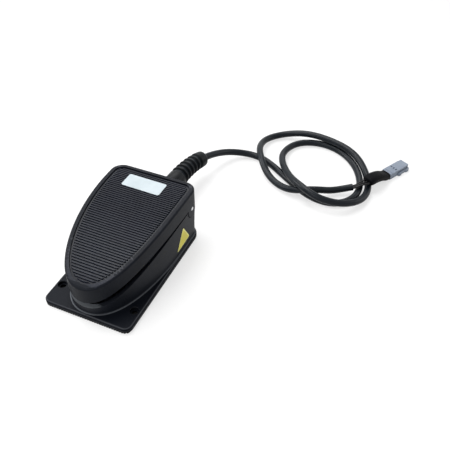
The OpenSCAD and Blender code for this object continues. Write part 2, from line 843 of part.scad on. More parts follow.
gland_z = deck_z + gland_h;
clamp_y = pivot_y - 6.5;
clamp_w = 24;
clamp_l = 8;
clamp_screw_x = 8.6;
clamp_top_z = gland_z + 5;
clamp_screw_l = 12;
tail_y = clamp_y - 8;                       // where the sheath ends inside
gland_face_y = heel_y + 6 + gland_nut_l;

module clamp_post() {
  difference() {
    box(-clamp_w / 2, clamp_w / 2, clamp_y - clamp_l / 2, clamp_y + clamp_l / 2,
      deck_z - eps, gland_z - 0.4);
    rod_y(cable_d / 2 + fit, 0, gland_z, clamp_y - clamp_l, clamp_y + clamp_l);
  }
}

module cable_clamp() {
  color(plastic) difference() {
    box(-clamp_w / 2, clamp_w / 2, clamp_y - clamp_l / 2, clamp_y + clamp_l / 2,
      gland_z + 0.4, clamp_top_z);
    rod_y(cable_d / 2 + fit, 0, gland_z, clamp_y - clamp_l, clamp_y + clamp_l);
    for (x = [-clamp_screw_x, clamp_screw_x])
      translate([x, clamp_y, 0]) cylinder(r = small_screw_r + fit, h = crown_z);
  }
}

module clamp_screws() {
  color(zinc) for (x = [-clamp_screw_x, clamp_screw_x])
    translate([x, clamp_y, clamp_top_z]) small_screw(clamp_screw_l - 0.4);
}

module cable_tail() {
  color(rubber) rod_y(cable_d / 2, 0, gland_z, tail_y, gland_face_y);
}

module inner_wires() {
  for (i = [0:2]) {
    y = terminal_ys[i];
    start = [wire_d * (i - 1), tail_y - 0.05, gland_z + wire_d * (i == 1 ? 0.7 : -0.5)];
    lane = -switch_t / 2 - small_head_t - wire_d - 1.2 * wire_d * (2 - i);
    color([[0.45, 0.25, 0.12], [0.2, 0.35, 0.7], [0.3, 0.6, 0.25]][i])
      sweep(smooth([
        start, start + [0, -3 - 1.5 * i, 0],
        [lane, tail_y - 4 - 1.25 * wire_d * i, gland_z - 3],
        [lane, (y + tail_y) / 2, switch_z0 - 3], [lane, y + 3, switch_z0 - terminal_l + 3],
        [-5, y, switch_z0 - terminal_l + 2], [-0.45, y, switch_z0 - terminal_l + 2]
      ], 3), wire_d / 2, wire_d / 2, 8);
  }
}

module gland_body() {
  color(plastic) difference() {
    union() {
      translate([0, heel_y, gland_z]) rotate([-90, 0, 0])
        rotate(30) cylinder(d = gland_af / cos(30), h = 6, $fn = 6);
      rod_y(gland_thread_d / 2, 0, gland_z, heel_y - wall_t - 6, heel_y + eps, 64);
    }
    rod_y(cable_d / 2 + fit, 0, gland_z, heel_y - 20, heel_y + 10);
  }
}

module gland_locknut() {
  color(plastic) difference() {
    translate([0, heel_y - wall_t - 4.5, gland_z]) rotate([-90, 0, 0])
      rotate(30) cylinder(d = gland_af / cos(30), h = 4.5, $fn = 6);
    rod_y(gland_thread_d / 2 + fit, 0, gland_z, heel_y - 20, heel_y, 64);
  }
}

module gland_nut() {
  r = gland_af / 2 - 0.3;
  color(plastic) translate([0, heel_y + 6, gland_z]) rotate([-90, 0, 0]) difference() {
    union() {
      cylinder(r = r, h = gland_nut_l - 4);
      translate([0, 0, gland_nut_l - 4]) cylinder(r1 = r, r2 = boot_r0, h = 4);
    }
    translate([0, 0, -1]) cylinder(r = cable_d / 2 + fit, h = gland_nut_l + 2);
    for (k = [0:15]) rotate(22.5 * k) translate([r + 0.35, 0, 1.5])
      cylinder(r = 0.8, h = gland_nut_l - 7, $fn = 16);
  }
}

// ---------------------------------------------------------------- lead outside

// Control points of the lead from the gland to the end of its sheath
route = [
  [0, 93, 26], [0, 110, 26], [2, 135, 25], [8, 160, 20], [17, 184, 12],
  [33, 200, 4.6], [54, 202, 3.6], [78, 188, 3.6], [104, 169, 3.6], [131, 155, 3.6],
  [157, 158, 3.6], [171, 181, 3.6], [164, 213, 3.6], [143, 243, 3.6], [111, 256, 3.6],
  [81, 246, 3.6], [72, 220, 4], [80, 194, 10.4], [96, 172, 11.6], [114, 153, 20],
  [136, 144, 16], [160, 151, 11], [176, 171, 5.4], [178, 195, 3.6], [168, 220, 5],
  [149, 242, 11], [119, 253, 11.4], [89, 257, 11], [63, 254, 4.4], [46, 238, 3.6],
  [46, 214, 8.6], [56, 192, 13.6], [70, 174, 6], [87, 163, 3.6], [104, 156, 7],
  [119, 157, 12.2], [131, 165, 10.4], [141, 174, 5.4], [151, 181, 5.6], [162, 186, 8.4]
];
route_steps = 6;

// Uniform cubic B-spline through a control list, ending on its end points
function spline_at(p, u) =
  let (
    n = len(p),
    i = min(floor(u), n - 2),
    f = u - i,
    a = i > 0 ? p[i - 1] : 2 * p[0] - p[1],
    b = p[i],
    c = p[i + 1],
    d = i + 2 < n ? p[i + 2] : 2 * p[n - 1] - p[n - 2]
  )
  (pow(1 - f, 3) * a + (3 * pow(f, 3) - 6 * f * f + 4) * b
    + (-3 * pow(f, 3) + 3 * f * f + 3 * f + 1) * c + pow(f, 3) * d) / 6;

function smooth(p, steps) =
  [for (k = [0:steps * (len(p) - 1)]) spline_at(p, k / steps)];

function heading(p, i) =
  let (d = p[min(i + 1, len(p) - 1)] - p[max(i - 1, 0)]) d / norm(d);

// Ring across the path at point p, facing along t: rx sideways, rz upwards
function across(p, t, rx, rz, sides) =
  let (side = cross(t, [0, 0, 1]) / norm(cross(t, [0, 0, 1])), up = cross(side, t))
  [for (k = [0:sides - 1])
    let (a = -360 * (k + 0.5) / sides) p + rx * cos(a) * side + rz * sin(a) * up];

module sweep(p, rx, rz, sides) {
  loft([for (i = [0:len(p) - 1]) across(p[i], heading(p, i), rx, rz, sides)]);
}

fine = smooth(route, route_steps);

function lengths(p, i = 1, sum = [0]) =
  i >= len(p) ? sum : lengths(p, i + 1, concat(sum, [sum[i - 1] + norm(p[i] - p[i - 1])]));

fine_lengths = lengths(fine);
along_to_knot = [for (i = [0:len(fine) - 1]) [fine_lengths[i], i / route_steps]];
lead_l = fine_lengths[len(fine) - 1];

function lead_point(s) = spline_at(route, lookup(s, along_to_knot));
function lead_heading(s) =
  let (d = lead_point(min(s + 0.5, lead_l)) - lead_point(max(s - 0.5, 0))) d / norm(d);

// The lead follows the gland when the body is made longer or shorter.
module with_lead() {
  translate([0, gland_face_y - route[0].y, 0]) children();
}

collar_l = boot_l - 9.5 - fin_count * fin_pitch;   // plain collar at the gland
groove_l = 0.68 * fin_pitch;
groove_depth = 2.4;
step = 0.3;

function boot_r(s) = boot_r0 + (boot_r1 - boot_r0) * s / boot_l;

boot_profile = [
  [0, boot_r(0)], [collar_l - step, boot_r(collar_l)],
  for (k = [0:fin_count - 1])
    let (s = collar_l + k * fin_pitch, deep = boot_r(s) - groove_depth)
    each [
      [s, deep], [s + groove_l, deep], [s + groove_l + step, boot_r(s)],
      [s + fin_pitch - step, boot_r(s)]
    ],
  [boot_l - 3, boot_r(boot_l)], [boot_l - 1.4, boot_r(boot_l) - 0.6],
  [boot_l - 0.4, boot_r(boot_l) - 1.7], [boot_l, boot_r(boot_l) - 2.8]
];

module cable_boot() {
  color(rubber) with_lead()
    loft([for (q = boot_profile) across(lead_point(q[0]), lead_heading(q[0]), q[1], q[1], 28)]);
}

module cable() {
  spacing = 13;
  count = ceil((lead_l - boot_l) / spacing);
  color(rubber) with_lead() loft([
    for (k = [0:count])
      let (s = boot_l + (lead_l - boot_l) * k / count)
      across(lead_point(s), lead_heading(s), cable_d / 2, cable_d / 2, 10)
  ]);
}

// Where the wires enter the sleeve, and where the sleeve meets the connector
plug_at = [188, 227];
plug_turn = -28;
lead_end = route[len(route) - 1];
lead_dir = lead_heading(lead_l);
sleeve_path = smooth([
  [174, 197, 11.8], [178, 205, 12.2], [183.3, 217, 8.2], [185.7, 222.6, 3.8], [188, 227, 3.7]
], 3);
wire_spread = 1.9;

module plug_wires() {
  side = [lead_dir.y, -lead_dir.x, 0] / norm([lead_dir.x, lead_dir.y]);
  mouth = heading(sleeve_path, 0);
  mouth_side = [mouth.y, -mouth.x, 0] / norm([mouth.x, mouth.y]);
  a = lead_end + 0.02 * lead_dir;
  b = sleeve_path[0];
  for (i = [-1:1])
    color([[0.1, 0.1, 0.1], [0.18, 0.18, 0.2], [0.1, 0.1, 0.12]][i + 1]) with_lead()
      sweep(smooth([
        a + side * wire_spread * i, a + side * wire_spread * i + 4 * lead_dir,
        (a + b) / 2 + side * 2.6 * i + [0, 0, 1.2], b + mouth_side * 3 * i - 4 * mouth,
        b + mouth_side * 3 * i
      ], 3), 0.9, 0.9, 8);
}

module plug_sleeve() {
  n = len(sleeve_path) - 1;
  color(rubber) with_lead() loft([
    for (i = [0:n])
      let (
        t = i == n ? [-sin(plug_turn), cos(plug_turn), 0] : heading(sleeve_path, i),
        swell = i == 0 ? 0.86 : i == 1 ? 0.97 : 1
      )
      sleeve_section(sleeve_path[i], t, swell * (plug_w / 2 + 0.2), swell * (plug_h / 2 + 0.2))
  ]);
}

// Flat oval section with well-rounded ends
function sleeve_section(p, t, rx, rz) =
  let (side = cross(t, [0, 0, 1]) / norm(cross(t, [0, 0, 1])), up = cross(side, t))
  [for (k = [0:23])
    let (a = -360 * (k + 0.5) / 24, c = cos(a), s = sin(a))
    p + side * rx * sign(c) * pow(abs(c), 0.55) + up * rz * sign(s) * pow(abs(s), 0.55)];

pin_pitch = 3.3;
cavity_depth = 11;

module on_plug() {
  with_lead() translate([plug_at.x, plug_at.y, 0]) rotate(plug_turn) children();
}

module plug_housing() {
  w = plug_w / 2;
  color([0.66, 0.69, 0.74]) on_plug() difference() {
    union() {
      // body with a narrower nose, drawn from above
      linear_extrude(plug_h) polygon([
        [-w, 0.02], [w, 0.02], [w, plug_l - 4], [w - 0.5, plug_l - 3.4], [w - 0.5, plug_l],
        [-w + 0.5, plug_l], [-w + 0.5, plug_l - 3.4], [-w, plug_l - 4]
      ]);
      // latch arm along the side, with its thumb step at the rear
      linear_extrude(plug_h * 0.55) polygon([
        [w - eps, 12], [w + 1.4, 12], [w + 2.2, 13], [w + 2.2, 16], [w + 1.2, 16.6],
        [w + 1.2, plug_l - 6], [w + 2.2, plug_l - 5], [w + 2.2, plug_l - 1.4],
        [w + 1.2, plug_l - 0.6], [w - eps - 0.5, plug_l - 0.6]
      ]);
    }
    for (i = [-1:1]) {
      rod_y(1.3, i * pin_pitch, plug_h / 2, plug_l - cavity_depth, plug_l + 1, 24);
      // locking windows above the contacts
      box(i * pin_pitch - 0.8, i * pin_pitch + 0.8, plug_l * 0.35, plug_l * 0.35 + 2.4,
        plug_h - 0.8, plug_h + 1);
    }
    // parting step round the rear
    box(-w - 1, w + 1, 3, 3.5, plug_h - 0.3, plug_h + 1);
  }
}

module plug_contacts() {
  color(brass) on_plug() for (i = [-1:1]) {
    rod_y(0.6, i * pin_pitch, plug_h / 2, plug_l - cavity_depth, plug_l - 2.6, 24);
    translate([i * pin_pitch, plug_l - 2.6, plug_h / 2]) rotate([-90, 0, 0])
      cylinder(r1 = 0.6, r2 = 0.25, h = 0.8, $fn = 24);
  }
}

// ---------------------------------------------------------------- output

base_plate();
rubber_mat();
base_screws();
housing();
pivot_pin();
pivot_clips();
treadle();
label_plate();
actuator_screw();
return_spring();
spring_cup();
travel_buffer();
switch_body();
switch_plunger();
switch_lever();
lever_roller();
switch_terminals();
switch_bracket();
bracket_screws();
switch_screws();
inner_wires();
cable_tail();
cable_clamp();
clamp_screws();
gland_body();
gland_locknut();
gland_nut();
cable_boot();
cable();
plug_wires();
plug_sleeve();
plug_housing();
plug_contacts();
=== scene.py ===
import math

import bmesh
import bpy
from mathutils import Euler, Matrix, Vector


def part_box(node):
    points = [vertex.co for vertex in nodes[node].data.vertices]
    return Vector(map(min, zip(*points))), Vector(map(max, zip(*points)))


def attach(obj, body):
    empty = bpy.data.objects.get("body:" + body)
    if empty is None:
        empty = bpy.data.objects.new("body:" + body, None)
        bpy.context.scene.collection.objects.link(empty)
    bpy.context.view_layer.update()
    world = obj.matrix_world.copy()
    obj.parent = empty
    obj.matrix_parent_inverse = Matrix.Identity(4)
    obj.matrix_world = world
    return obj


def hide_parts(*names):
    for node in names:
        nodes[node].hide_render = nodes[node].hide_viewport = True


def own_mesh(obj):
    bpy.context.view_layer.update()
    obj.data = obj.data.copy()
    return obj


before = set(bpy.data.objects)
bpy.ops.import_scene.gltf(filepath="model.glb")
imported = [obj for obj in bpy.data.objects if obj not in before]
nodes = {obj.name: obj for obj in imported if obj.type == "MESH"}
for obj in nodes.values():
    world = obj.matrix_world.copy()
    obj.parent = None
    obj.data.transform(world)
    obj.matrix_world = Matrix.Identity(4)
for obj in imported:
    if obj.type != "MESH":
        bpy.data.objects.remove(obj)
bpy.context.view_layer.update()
MM = 0.001


# ---------------------------------------------------------------- camera

LENS, FILM_WIDTH = 49.94, 36.0              # mm
CAMERA_PLACE = (0.2448, -0.3258, 0.4206)    # m
CAMERA_TILT, CAMERA_TURN = 47.08, 24.02     # degrees

camera_data = bpy.data.cameras.new("camera")
camera_data.lens = LENS
camera_data.sensor_width = FILM_WIDTH
camera = bpy.data.objects.new("camera", camera_data)
camera.location = CAMERA_PLACE
camera.rotation_euler = Euler((math.radians(CAMERA_TILT), 0.0, math.radians(CAMERA_TURN)))
bpy.context.scene.collection.objects.link(camera)
bpy.context.scene.camera = camera


# ---------------------------------------------------------------- materials

def links(material):
    """The material's nodes, links and principled shader."""
    material.use_nodes = True
    tree = material.node_tree
    return tree.nodes, tree.links, tree.nodes["Principled BSDF"]


def add(n, kind, **values):
    """A shader node with its inputs set by name."""
    node = n.new(kind)
    for name, value in values.items():
        node.inputs[name.replace("_", " ")].default_value = value
    return node


def maths(n, l, operation, *terms):
    """Result of a maths node over sockets and plain numbers."""
    node = n.new("ShaderNodeMath")
    node.operation = operation
    for term, socket in zip(terms, node.inputs):
        if isinstance(term, float):
            socket.default_value = term
        else:
            l.new(term, socket)
    return node.outputs[0]


def ramp(n, low, high, low_value, high_value):
    """A ramp from one grey or colour to another between two positions."""
    node = n.new("ShaderNodeValToRGB")
    stops = node.color_ramp.elements
    stops[0].position, stops[1].position = low, high
    for stop, value in zip(stops, (low_value, high_value)):
        stop.color = (*value, 1) if isinstance(value, tuple) else (value, value, value, 1)
    return node


def blended(n, l, mask, below, colour):
    """Blend from a colour socket to a colour by a mask socket."""
    blend = n.new("ShaderNodeMix")
    blend.data_type = "RGBA"
    blend.inputs["B"].default_value = (*colour, 1)
    l.new(mask, blend.inputs["Factor"])
    l.new(below, blend.inputs["A"])
    return blend.outputs["Result"]


def height_band(n, l, place, low, high, fade=0.0004):
    """1 between two heights in metres, fading to 0 beyond them."""
    split = n.new("ShaderNodeSeparateXYZ")
    l.new(place, split.inputs["Vector"])
    height = add(n, "ShaderNodeMapRange", From_Min=low - fade, From_Max=high + fade)
    l.new(split.outputs["Z"], height.inputs["Value"])
    band = ramp(n, 0.0, 0.35, 0.0, 1.0)
    for at, value in ((0.65, 1.0), (1.0, 0.0)):
        stop = band.color_ramp.elements.new(at)
        stop.color = (value, value, value, 1)
    l.new(height.outputs["Result"], band.inputs["Fac"])
    return band.outputs["Color"]


def surface(
    name, dark, light, rough, grain=900.0, bump=0.15, cloud=60.0, metallic=0.0,
    stretch=(1, 1, 1), specular=0.5, hollow_shade=None, ridge_highlight=None, band_highlight=None,
):
    """Procedural finish: large cloudy colour changes and a fine grain that drives bump and
    roughness. The hollow and ridge options paint shade into hollows and a highlight onto
    ridges, each given as (lowest, highest, colour) over the surface's pointiness. The band
    option paints a highlight as a lighter band between two heights: (lowest, highest, colour)."""
    rough_swing, relief_depth = 0.07, 0.0002
    material = bpy.data.materials.new(name)
    n, l, shader = links(material)
    place = n.new("ShaderNodeTexCoord").outputs["Object"]
    squeeze = n.new("ShaderNodeMapping")
    squeeze.inputs["Scale"].default_value = stretch
    l.new(place, squeeze.inputs["Vector"])
    clouds = add(n, "ShaderNodeTexNoise", Scale=cloud, Detail=4.0, Roughness=0.6)
    fine = add(n, "ShaderNodeTexNoise", Scale=grain, Detail=3.0, Roughness=0.55)
    for noise in (clouds, fine):
        l.new(squeeze.outputs["Vector"], noise.inputs["Vector"])
    colour = ramp(n, 0.3, 0.7, dark, light)
    l.new(clouds.outputs["Fac"], colour.inputs["Fac"])
    base = colour.outputs["Color"]
    # painted shade in hollows and painted highlights on ridges, by pointiness
    for bend, at_low in ((hollow_shade, 1.0), (ridge_highlight, 0.0)):
        if bend:
            low, high, tint = bend
            mask = ramp(n, low, high, at_low, 1.0 - at_low)
            geometry = n.new("ShaderNodeNewGeometry")
            l.new(geometry.outputs["Pointiness"], mask.inputs["Fac"])
            base = blended(n, l, mask.outputs["Color"], base, tint)
    # painted highlight: a lighter band between two heights
    if band_highlight:
        low, high, highlight_colour = band_highlight
        base = blended(n, l, height_band(n, l, place, low, high), base, highlight_colour)
    l.new(base, shader.inputs["Base Color"])
    gloss = ramp(n, 0.25, 0.75, rough - rough_swing, rough + rough_swing)
    l.new(fine.outputs["Fac"], gloss.inputs["Fac"])
    l.new(gloss.outputs["Color"], shader.inputs["Roughness"])
    relief = add(n, "ShaderNodeBump", Strength=bump, Distance=relief_depth)
    l.new(fine.outputs["Fac"], relief.inputs["Height"])
    l.new(relief.outputs["Normal"], shader.inputs["Normal"])
    shader.inputs["Metallic"].default_value = metallic
    shader.inputs["Specular IOR Level"].default_value = specular
    return material


# heights in metres of the painted highlight bands on the edge of the foot flange and on the
# bevel of the plate
FLANGE_HIGHLIGHT = (0.00675, 0.00695)
BEVEL_HIGHLIGHT = (0.00555, 0.0058)
MOULDED = {
    "dark": (0.0034, 0.0044, 0.0071), "light": (0.0060, 0.0076, 0.0117),
    "grain": 1600.0, "cloud": 45.0,
}

moulded = surface("moulded_black", rough=0.5, bump=0.2, specular=0.12, **MOULDED)
# the housing's colour has a painted highlight along the foot flange's edge
housing_black = surface("housing_black", rough=0.5, bump=0.2, specular=0.12,
                        band_highlight=(*FLANGE_HIGHLIGHT, (0.085, 0.093, 0.105)), **MOULDED)
rim_black = surface("rim_black", rough=0.46, bump=0.16, specular=0.09, **MOULDED)
# the plate's colour has a painted highlight along its bevel
plate_black = surface("plate_black", rough=0.45, bump=0.2, specular=0.07,
                      band_highlight=(*BEVEL_HIGHLIGHT, (0.045, 0.048, 0.055)), **MOULDED)
# the ledge's lighter colour is a painted highlight
ledge_painted_highlight = surface("ledge_painted_highlight", (0.055, 0.061, 0.070), (0.075, 0.082, 0.092), 0.36,
                      grain=1600.0, bump=0.15, cloud=45.0, specular=0.3)
# the tread's colour has painted shade in its grooves
tread_black = surface("tread_black", (0.0038, 0.0054, 0.0112), (0.0066, 0.0092, 0.018), 0.4,
                      grain=1500.0, bump=0.2, cloud=40.0, specular=0.18,
                      hollow_shade=(0.40, 0.49, (0.001, 0.001, 0.0015)))
mat_rubber = surface("mat_rubber", (0.003, 0.003, 0.003), (0.006, 0.006, 0.006), 0.8,
                     grain=700.0, bump=0.5, specular=0.08)
# the boot's colour has painted shade in its grooves and painted highlights on its fin rims
boot_rubber = surface("boot_rubber", (0.0015, 0.0028, 0.004), (0.003, 0.0046, 0.0064), 0.42,
                      grain=900.0, bump=0.2, cloud=80.0, specular=0.14,
                      hollow_shade=(0.40, 0.49, (0.0006, 0.0006, 0.0008)),
                      ridge_highlight=(0.51, 0.58, (0.016, 0.020, 0.025)))
sleeve_black = surface("sleeve_black", (0.0008, 0.0010, 0.0018), (0.0016, 0.0020, 0.0032), 0.55,
                       grain=700.0, bump=0.25, cloud=90.0, specular=0.05)
jacket = surface("jacket_rubber", (0.0028, 0.0046, 0.007), (0.0055, 0.0082, 0.0118), 0.34,
                 grain=500.0, bump=0.2, cloud=120.0, specular=0.16)
insulation = surface("wire_insulation", (0.006, 0.006, 0.007), (0.01, 0.01, 0.011), 0.4,
                     bump=0.12, specular=0.2)
zinc = surface("zinc_steel", (0.52, 0.53, 0.55), (0.68, 0.69, 0.70), 0.32,
               grain=500.0, bump=0.12, cloud=200.0, metallic=1.0, stretch=(6, 1, 1))
spring_steel = surface("spring_steel", (0.38, 0.39, 0.41), (0.5, 0.51, 0.53), 0.3,
                       grain=800.0, bump=0.1, cloud=150.0, metallic=1.0)
tinned = surface("tinned_brass", (0.62, 0.48, 0.24), (0.75, 0.6, 0.33), 0.3,
                 bump=0.08, metallic=1.0)
grey_nylon = surface("connector_grey", (0.15, 0.18, 0.235), (0.215, 0.25, 0.305), 0.5,
                     bump=0.12, cloud=90.0, specular=0.4)
case_plastic = surface("switch_case", (0.02, 0.02, 0.024), (0.035, 0.035, 0.04), 0.32,
                       grain=700.0, bump=0.1)
red_plastic = surface("plunger_red", (0.4, 0.04, 0.03), (0.5, 0.06, 0.045), 0.3, bump=0.08)
nylon = surface("roller_nylon", (0.66, 0.65, 0.6), (0.75, 0.74, 0.69), 0.4, bump=0.1)
label_film = surface("label_film", (0.42, 0.48, 0.51), (0.50, 0.56, 0.59), 0.5,
                     grain=1200.0, bump=0.05, cloud=70.0, specular=0.2)

finishes = {
    "base_plate": plate_black, "housing": housing_black, "treadle": tread_black,
    "rubber_mat": mat_rubber, "travel_buffer": mat_rubber, "cable_clamp": moulded,
    "spring_cup": moulded, "gland_body": moulded, "gland_locknut": moulded,
    "gland_nut": moulded, "cable_boot": boot_rubber, "plug_sleeve": sleeve_black,
    "cable": jacket, "cable_tail": jacket, "inner_wires": insulation,
    "plug_wires": insulation, "base_screws": zinc, "pivot_pin": zinc, "pivot_clips": zinc,
    "actuator_screw": zinc, "bracket_screws": zinc, "switch_screws": zinc,
    "clamp_screws": zinc, "switch_bracket": zinc, "switch_lever": zinc,
    "return_spring": spring_steel, "switch_body": case_plastic,
    "switch_plunger": red_plastic, "lever_roller": nylon, "switch_terminals": tinned,
    "plug_contacts": tinned, "plug_housing": grey_nylon, "label_plate": label_film,
}
for node_name, finish in finishes.items():
    slots = nodes[node_name].data.materials
    slots.clear()
    slots.append(finish)


# ---------------------------------------------------------------- helpers for pieces

def piece(name, vertices, faces, material, body, slot, smooth=True):
    """A new mesh piece that rides on a body. Its slot argument is not used."""
    mesh = bpy.data.meshes.new(name)
    mesh.from_pydata([tuple(v) for v in vertices], [], faces)
    mesh.materials.append(material)
    mesh.polygons.foreach_set("use_smooth", [smooth] * len(mesh.polygons))
    mesh.update()
    obj = bpy.data.objects.new(name, mesh)
    bpy.context.scene.collection.objects.link(obj)
    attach(obj, body)
    return obj


def spline_at(points, u):
    """Point of a uniform cubic B-spline that ends on its end points."""
    count = len(points)
    i = min(int(u), count - 2)
    f = u - i
    b, c = points[i], points[i + 1]
    a = points[i - 1] if i > 0 else 2 * points[0] - points[1]
    d = points[i + 2] if i + 2 < count else 2 * points[-1] - points[-2]
    return (
        (1 - f) ** 3 * a + (3 * f**3 - 6 * f * f + 4) * b
        + (-3 * f**3 + 3 * f * f + 3 * f + 1) * c + f**3 * d
    ) / 6


def smooth_path(points, steps):
    points = [Vector(p) for p in points]
    return [spline_at(points, k / steps) for k in range(steps * (len(points) - 1) + 1)]


def heading(path, i):
    return (path[min(i + 1, len(path) - 1)] - path[max(i - 1, 0)]).normalized()


def sideways(direction):
    """Level direction at right angles to another one."""
    return Vector((direction.y, -direction.x, 0)).normalized()


def ring(point, along, rx, rz, sides, power=1.0):
    """Closed section in metres across a path in millimetres: an oval, or a box with well
    rounded corners if the power is under 1."""
    side = along.cross(Vector((0, 0, 1))).normalized()
    up = side.cross(along)
    out = []
    for k in range(sides):
        a = -2 * math.pi * (k + 0.5) / sides
        c, s = math.cos(a), math.sin(a)
        place = (
            point + side * rx * math.copysign(abs(c) ** power, c)
            + up * rz * math.copysign(abs(s) ** power, s)
        )
        out.append(place * MM)
    return out


def quads(rows, m):
    """Faces between the rows of a grid of closed rings with m points each."""
    return [
        (i * m + j, i * m + (j + 1) % m, (i + 1) * m + (j + 1) % m, (i + 1) * m + j)
        for i in range(rows - 1)
        for j in range(m)
    ]


def skin(rings):
    """Vertices and faces of a closed solid through a stack of rings."""
    m = len(rings[0])
    first = tuple(range(m - 1, -1, -1))
    last = tuple(range((len(rings) - 1) * m, len(rings) * m))
    faces = quads(len(rings), m) + [first, last]
    return [v for r in rings for v in r], [tuple(reversed(f)) for f in faces]


# ---------------------------------------------------------------- smooth shells

def smoothed(node_name, name, body, slot="body_plastic", angle=30, weighted=True):
    """Copy of a CAD solid with its facets shaded as one curved wall."""
    merge = 0.000002
    form = bmesh.new()
    form.from_mesh(nodes[node_name].data)
    bmesh.ops.remove_doubles(form, verts=form.verts, dist=merge)
    form.verts.index_update()
    vertices = [v.co.copy() for v in form.verts]
    faces = [[v.index for v in f.verts] for f in form.faces]
    form.free()
    obj = piece(name, vertices, faces, nodes[node_name].data.materials[0], body, slot)
    obj.data.set_sharp_from_angle(angle=math.radians(angle))
    if weighted:
        normals = obj.modifiers.new("normals", "WEIGHTED_NORMAL")
        normals.keep_sharp = True
    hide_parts(node_name)
    return obj


def paint_ledge_highlight(shell):
    """Give the ledge in front of the treadle a painted highlight: a lighter, glossier finish.
    """
    lowest, rearmost, rightmost, level = 0.009, -0.05, 0.012, 0.8
    shell.data.materials.append(ledge_painted_highlight)
    for face in shell.data.polygons:
        c = face.center
        if face.normal.z > level and c.z > lowest and c.y < rearmost and c.x < rightmost:
            face.material_index = 1


def paint_rim(pedal):
    """Give the rim and the skirt the finish of the housing. The ribs keep the tread's."""
    rim_width, rib_depth, pitch = 0.0045, 0.003, 0.002
    pedal.data.materials.append(rim_black)
    reach, top = {}, {}
    for vertex in pedal.data.vertices:
        at = round(vertex.co.y / pitch)
        reach[at] = max(reach.get(at, 0.0), abs(vertex.co.x))
        top[at] = max(top.get(at, 0.0), vertex.co.z)
    toe, heel = min(reach) * pitch, max(reach) * pitch
    for face in pedal.data.polygons:
        c = face.center
        at = round(c.y / pitch)
        near = [k for k in (at - 1, at, at + 1) if k in reach]
        narrower = abs(c.x) < max(reach[k] for k in near) - rim_width
        shorter = toe + rim_width < c.y < heel - rim_width
        lower = c.z < max(top[k] for k in near) - rib_depth
        if lower or not (narrower and shorter):
            face.material_index = 1


def press_spring(spring):
    """Give the spring a mesh of its own."""
    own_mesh(spring)


shell = smoothed("housing", "housing_shell", "base")
smoothed("base_plate", "base_moulding", "base")
pedal = smoothed("treadle", "treadle_shell", "treadle")
spring = smoothed("return_spring", "coil_spring", "base", "zinc_steel", 40, weighted=False)
press_spring(spring)
paint_ledge_highlight(shell)
paint_rim(pedal)


# ---------------------------------------------------------------- the lead, in millimetres

ROUTE = [
    (0, 93, 26), (0, 110, 26), (2, 135, 25), (8, 160, 20), (17, 184, 12),
    (33, 200, 4.6), (54, 202, 3.6), (78, 188, 3.6), (104, 169, 3.6), (131, 155, 3.6),
    (157, 158, 3.6), (171, 181, 3.6), (164, 213, 3.6), (143, 243, 3.6), (111, 256, 3.6),
    (81, 246, 3.6), (72, 220, 4), (80, 194, 10.4), (96, 172, 11.6), (114, 153, 20),
    (136, 144, 16), (160, 151, 11), (176, 171, 5.4), (178, 195, 3.6), (168, 220, 5),
    (149, 242, 11), (119, 253, 11.4), (89, 257, 11), (63, 254, 4.4), (46, 238, 3.6),
    (46, 214, 8.6), (56, 192, 13.6), (70, 174, 6), (87, 163, 3.6), (104, 156, 7),
    (119, 157, 12.2), (131, 165, 10.4), (141, 174, 5.4), (151, 181, 5.6), (162, 186, 8.4),
]
CABLE_D = 7.2
lead = smooth_path(ROUTE, 12)
lead_lengths = [0.0]
for near, far in zip(lead, lead[1:]):
    lead_lengths.append(lead_lengths[-1] + (far - near).length)


def lead_point(s):
    """Point on the lead's middle line, s millimetres from the gland."""
    for i in range(1, len(lead)):
        if lead_lengths[i] >= s or i == len(lead) - 1:
            share = (s - lead_lengths[i - 1]) / (lead_lengths[i] - lead_lengths[i - 1])
            return lead[i - 1].lerp(lead[i], share)


def lead_heading(s, step=0.5):
    ahead = lead_point(min(s + step, lead_lengths[-1]))
    return (ahead - lead_point(max(s - step, 0))).normalized()


curve = bpy.data.curves.new("cable_jacket", "CURVE")
curve.dimensions = "3D"
curve.bevel_depth = CABLE_D / 2 * MM
curve.bevel_resolution = 7
curve.use_fill_caps = True
line = curve.splines.new("POLY")
line.points.add(len(lead) - 1)
for spline_point, p in zip(line.points, lead):
    spline_point.co = (p.x * MM, p.y * MM, p.z * MM, 1)
line.use_smooth = True
cable = bpy.data.objects.new("cable_jacket", curve)
bpy.context.scene.collection.objects.link(cable)
curve.materials.append(jacket)
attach(cable, "base")
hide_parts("cable")

# boot: the collar, fins and grooves of the CAD boot, with rounded lips
BOOT_L, BOOT_R0, BOOT_R1 = 60.0, 10.0, 8.3
FINS, PITCH, COLLAR, GROOVE, DEEP = 6, 6.2, 13.3, 4.2, 2.5
# each as (distance from an edge, distance under the full radius or over the groove)
FACE_LIP = ((0.0, 0.6), (0.25, 0.15), (0.8, 0.0))
COLLAR_LIP = ((0.7, 0.0), (0.25, 0.2), (0.0, 0.7))
FIN_LIP = ((0.0, 0.6), (0.3, 0.12), (0.8, 0.0))
GROOVE_FOOT = ((0.15, 0.35), (0.55, 0.0))
NOSE = ((3.4, 0.0), (2.0, 0.35), (0.9, 1.2), (0.25, 2.4))


def boot_r(s):
    return BOOT_R0 + (BOOT_R1 - BOOT_R0) * s / BOOT_L


